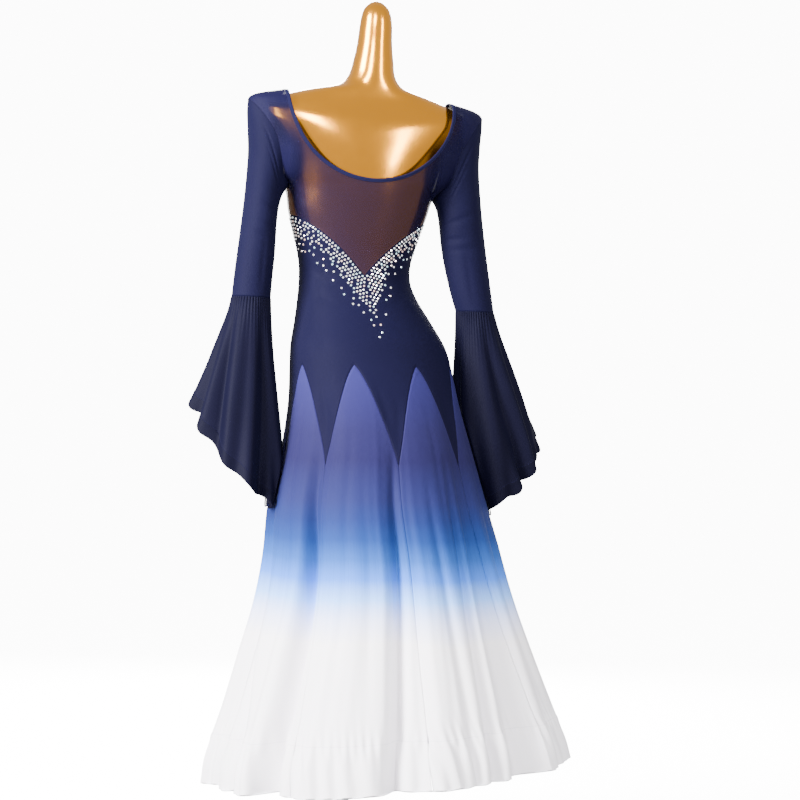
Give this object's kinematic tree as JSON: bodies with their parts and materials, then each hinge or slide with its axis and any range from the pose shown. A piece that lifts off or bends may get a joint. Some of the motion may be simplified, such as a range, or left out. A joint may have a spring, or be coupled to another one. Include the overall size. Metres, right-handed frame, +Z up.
{
  "type": "ballroom dance dress on a limbless dress form",
  "caption": "Long-sleeved ballroom dress with a sheer yoke, bell flounces and a flared ombre godet skirt, worn by a glossy gold limbless dress form on a post with a round base.",
  "frame": {"origin": "centre of the underside of the stand's round base, on the floor", "axes": "+Z up; the back of the dress faces +Y and its front faces -Y; the wearer's left is +X"},
  "size_m": [0.7399, 0.6865, 1.6531],
  "materials": {
    "form_gold": "glossy pearl gold lacquer",
    "stand_steel": "satin",
    "sheer_mesh": "fine sheer stretch mesh",
    "navy_jersey": "smooth stretch jersey with a soft sheen",
    "navy_chiffon": "soft chiffon with stiffened hem",
    "ombre_organza": "satin organza dyed from navy blue to white"
  },
  "bodies": {
    "root": {"dress_form": "form_gold", "stand_post": "stand_steel", "stand_base": "stand_steel", "back_yoke": "sheer_mesh", "front_yoke": "sheer_mesh", "bodice_back": "navy_jersey", "bodice_front": "navy_jersey", "neck_binding": "navy_jersey", "sleeve_left": "navy_jersey", "sleeve_right": "navy_jersey", "flounce_left": "navy_chiffon", "flounce_right": "navy_chiffon", "godet_1": "ombre_organza", "godet_2": "ombre_organza", "godet_3": "ombre_organza", "godet_4": "ombre_organza", "godet_5": "ombre_organza", "godet_6": "ombre_organza", "godet_7": "ombre_organza", "godet_8": "ombre_organza"}
  },
  "joints": []
}
